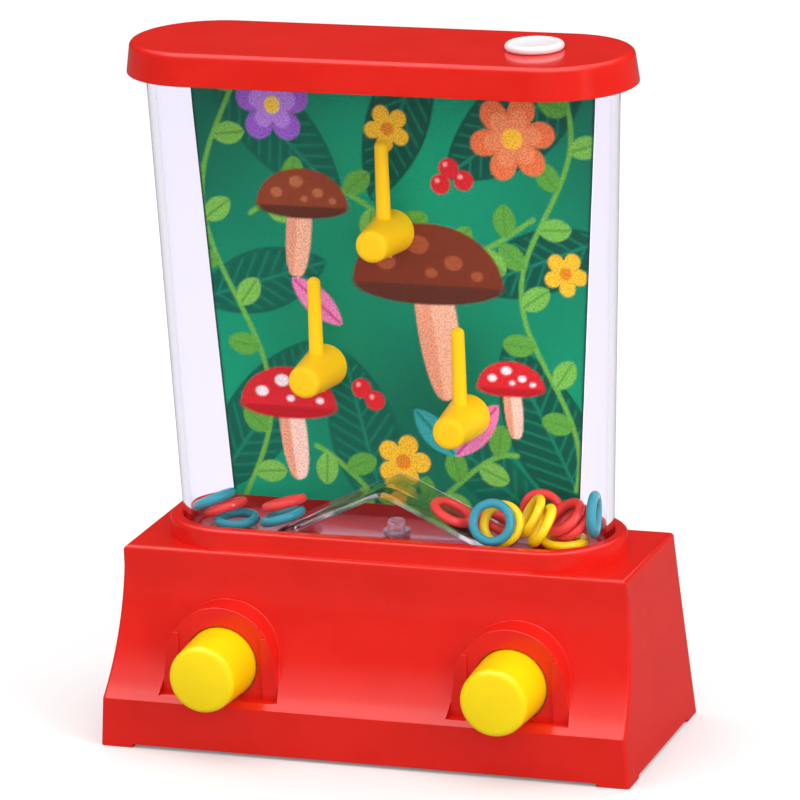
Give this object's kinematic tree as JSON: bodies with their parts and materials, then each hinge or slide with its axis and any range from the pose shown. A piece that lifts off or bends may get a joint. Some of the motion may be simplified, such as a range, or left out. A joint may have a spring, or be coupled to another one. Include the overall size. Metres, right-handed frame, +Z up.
{
  "type": "handheld water game",
  "caption": "Handheld water ring-toss game: clear tank with pegs and loose rings, printed backdrop and cap, on a red base with yellow push buttons that pump the water.",
  "frame": {"origin": "middle of the bounding box on the resting surface", "axes": "+Z up through the tank, +Y to the back, away from the buttons, +X to the right as seen from the buttons"},
  "size_m": [0.12, 0.06, 0.1538],
  "materials": {
    "red_plastic": "glossy",
    "yellow_plastic": "glossy",
    "white_plastic": "satin",
    "clear_plastic": "glossy",
    "printed_card": "satin",
    "natural_plastic": "satin",
    "bellows_rubber": "matte",
    "spring_steel": "satin",
    "screw_steel": "satin",
    "ring_teal": "glossy",
    "ring_yellow": "glossy",
    "ring_red": "glossy"
  },
  "bodies": {
    "casing": {"base_shell": "red_plastic", "base_plate": "red_plastic", "base_screws": "screw_steel", "tank": "clear_plastic", "cap": "red_plastic", "backdrop": "printed_card", "peg_top": "yellow_plastic", "peg_left": "yellow_plastic", "peg_right": "yellow_plastic", "deflector": "clear_plastic", "jet_nozzle": "clear_plastic", "water_duct": "natural_plastic", "pump_left": "natural_plastic", "pump_right": "natural_plastic", "bellows_left": "bellows_rubber", "bellows_right": "bellows_rubber", "clamp_ring_left": "natural_plastic", "clamp_ring_right": "natural_plastic", "spring_left": "spring_steel", "spring_right": "spring_steel"},
    "fill_plug": {"fill_plug": "white_plastic"},
    "button_left": {"button_left": "yellow_plastic"},
    "button_right": {"button_right": "yellow_plastic"},
    "ring_teal_1": {"ring_teal_1": "ring_teal"},
    "ring_teal_2": {"ring_teal_2": "ring_teal"},
    "ring_teal_3": {"ring_teal_3": "ring_teal"},
    "ring_teal_4": {"ring_teal_4": "ring_teal"},
    "ring_teal_5": {"ring_teal_5": "ring_teal"},
    "ring_yellow_1": {"ring_yellow_1": "ring_yellow"},
    "ring_yellow_2": {"ring_yellow_2": "ring_yellow"},
    "ring_yellow_3": {"ring_yellow_3": "ring_yellow"},
    "ring_yellow_4": {"ring_yellow_4": "ring_yellow"},
    "ring_red_1": {"ring_red_1": "ring_red"},
    "ring_red_2": {"ring_red_2": "ring_red"},
    "ring_red_3": {"ring_red_3": "ring_red"},
    "ring_red_4": {"ring_red_4": "ring_red"},
    "ring_red_5": {"ring_red_5": "ring_red"},
    "ring_red_6": {"ring_red_6": "ring_red"},
    "ring_red_7": {"ring_red_7": "ring_red"}
  },
  "joints": [
    {"name": "button_left_press", "type": "slide", "parent": "casing", "child": "button_left", "axis": [0, 1, 0], "range_m": [0, 0.006], "stiffness_N_per_m": 400, "springref_m": -0.002, "deforming": ["bellows_left", "spring_left"]},
    {"name": "button_right_press", "type": "slide", "parent": "casing", "child": "button_right", "axis": [0, 1, 0], "range_m": [0, 0.006], "stiffness_N_per_m": 400, "springref_m": -0.002, "deforming": ["bellows_right", "spring_right"]},
    {"name": "fill_plug_lift", "type": "slide", "parent": "casing", "child": "fill_plug", "axis": [0, 0, 1], "range_m": [0, 0.012]},
    {"name": "ring_teal_1_float", "type": "slide", "parent": "casing", "child": "ring_teal_1", "axis": [0, 0, 1], "range_m": [0, 0.06]},
    {"name": "ring_teal_2_float", "type": "slide", "parent": "casing", "child": "ring_teal_2", "axis": [0, -1, 0], "range_m": [0, 0.003]},
    {"name": "ring_teal_3_float", "type": "slide", "parent": "casing", "child": "ring_teal_3", "axis": [0.9487, 0, 0.3162], "range_m": [0, 0.003]},
    {"name": "ring_teal_4_float", "type": "slide", "parent": "casing", "child": "ring_teal_4", "axis": [0.2425, 0, 0.9701], "range_m": [0, 0.06]},
    {"name": "ring_teal_5_float", "type": "slide", "parent": "casing", "child": "ring_teal_5", "axis": [0.3333, 0.6667, 0.6667], "range_m": [0, 0.00125]},
    {"name": "ring_yellow_1_float", "type": "slide", "parent": "casing", "child": "ring_yellow_1", "axis": [0, 0.4472, 0.8944], "range_m": [0, 0.001]},
    {"name": "ring_yellow_2_float", "type": "slide", "parent": "casing", "child": "ring_yellow_2", "axis": [0.3162, 0, 0.9487], "range_m": [0, 0.04]},
    {"name": "ring_yellow_3_float", "type": "slide", "parent": "casing", "child": "ring_yellow_3", "axis": [0.5884, -0.1961, 0.7845], "range_m": [0, 0.006]},
    {"name": "ring_yellow_4_float", "type": "slide", "parent": "casing", "child": "ring_yellow_4", "axis": [-0.7071, -0.7071, 0], "range_m": [0, 0.00075]},
    {"name": "ring_red_1_float", "type": "slide", "parent": "casing", "child": "ring_red_1", "axis": [0.8944, 0, 0.4472], "range_m": [0, 0.003]},
    {"name": "ring_red_2_float", "type": "slide", "parent": "casing", "child": "ring_red_2", "axis": [0.5547, 0, 0.8321], "range_m": [0, 0.033]},
    {"name": "ring_red_3_float", "type": "slide", "parent": "casing", "child": "ring_red_3", "axis": [-0.4472, 0, 0.8944], "range_m": [0, 0.06]},
    {"name": "ring_red_4_float", "type": "slide", "parent": "casing", "child": "ring_red_4", "axis": [-0.6963, -0.1741, 0.6963], "range_m": [0, 0.00125]},
    {"name": "ring_red_5_float", "type": "slide", "parent": "casing", "child": "ring_red_5", "axis": [-0.4364, -0.2182, 0.8729], "range_m": [0, 0.002]},
    {"name": "ring_red_6_float", "type": "slide", "parent": "casing", "child": "ring_red_6", "axis": [0.4364, 0.2182, 0.8729], "range_m": [0, 0.002]},
    {"name": "ring_red_7_float", "type": "slide", "parent": "casing", "child": "ring_red_7", "axis": [0.3714, 0.5571, 0.7428], "range_m": [0, 0.0005]}
  ]
}
